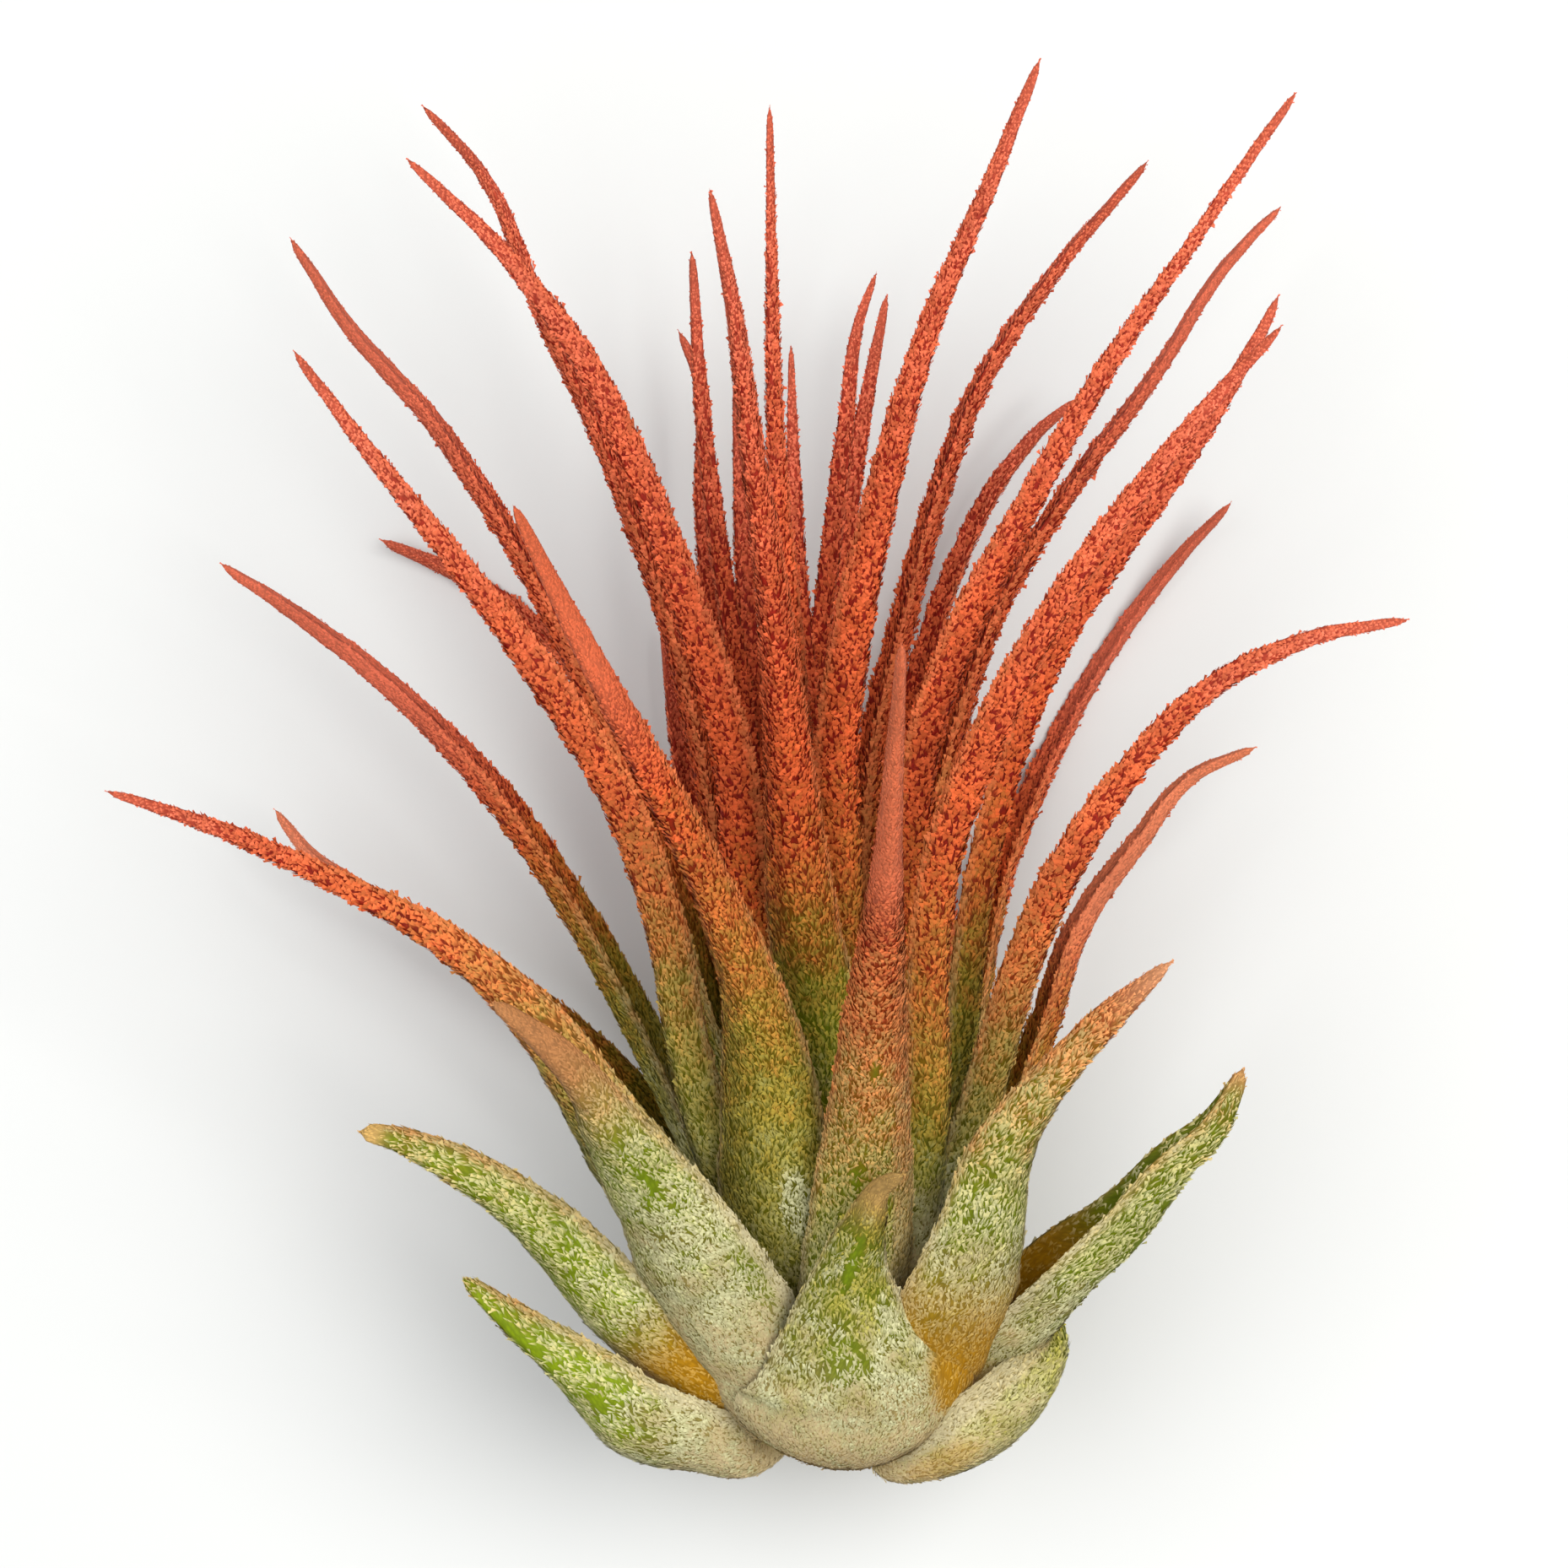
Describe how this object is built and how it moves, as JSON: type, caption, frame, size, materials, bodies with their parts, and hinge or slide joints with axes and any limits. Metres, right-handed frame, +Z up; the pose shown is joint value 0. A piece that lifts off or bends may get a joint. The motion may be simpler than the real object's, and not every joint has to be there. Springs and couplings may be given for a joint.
{
  "type": "ionantha air plant",
  "caption": "Small rosette air plant lying on its side: nested pale sheaths at the foot, drawn out into channelled, scale-covered leaves with thin coral tips.",
  "frame": {"origin": "centre of the bounding box in plan, on the surface that the plant lies on", "axes": "+Y from the stem's foot towards the leaf tips, +Z up from the surface, X across the rosette"},
  "size_m": [0.0733, 0.0798, 0.0499],
  "materials": {
    "stem": "matt brown bark",
    "basal_leaf": "matt, felted with pale scales",
    "outer_leaf": "matt, felted with pale scales",
    "middle_leaf": "matt, felted with pale scales",
    "upper_leaf": "matt, felted with pale scales",
    "inner_leaf": "matt, felted with pale scales",
    "heart_leaf": "matt, felted with pale scales"
  },
  "bodies": {
    "root": {"basal_leaf_1": "basal_leaf", "basal_leaf_2": "basal_leaf", "basal_leaf_3": "basal_leaf", "basal_leaf_4": "basal_leaf", "basal_leaf_5": "basal_leaf", "basal_leaf_6": "basal_leaf", "heart_leaf_1": "heart_leaf", "heart_leaf_10": "heart_leaf", "heart_leaf_2": "heart_leaf", "heart_leaf_3": "heart_leaf", "heart_leaf_4": "heart_leaf", "heart_leaf_5": "heart_leaf", "heart_leaf_6": "heart_leaf", "heart_leaf_7": "heart_leaf", "heart_leaf_8": "heart_leaf", "heart_leaf_9": "heart_leaf", "inner_leaf_1": "inner_leaf", "inner_leaf_2": "inner_leaf", "inner_leaf_3": "inner_leaf", "inner_leaf_4": "inner_leaf", "inner_leaf_5": "inner_leaf", "middle_leaf_1": "middle_leaf", "middle_leaf_10": "middle_leaf", "middle_leaf_2": "middle_leaf", "middle_leaf_3": "middle_leaf", "middle_leaf_4": "middle_leaf", "middle_leaf_5": "middle_leaf", "middle_leaf_6": "middle_leaf", "middle_leaf_7": "middle_leaf", "middle_leaf_8": "middle_leaf", "middle_leaf_9": "middle_leaf", "outer_leaf_1": "outer_leaf", "outer_leaf_2": "outer_leaf", "outer_leaf_3": "outer_leaf", "outer_leaf_4": "outer_leaf", "outer_leaf_5": "outer_leaf", "outer_leaf_6": "outer_leaf", "stem": "stem", "upper_leaf_1": "upper_leaf", "upper_leaf_2": "upper_leaf", "upper_leaf_3": "upper_leaf", "upper_leaf_4": "upper_leaf", "upper_leaf_5": "upper_leaf", "upper_leaf_6": "upper_leaf"}
  },
  "joints": []
}
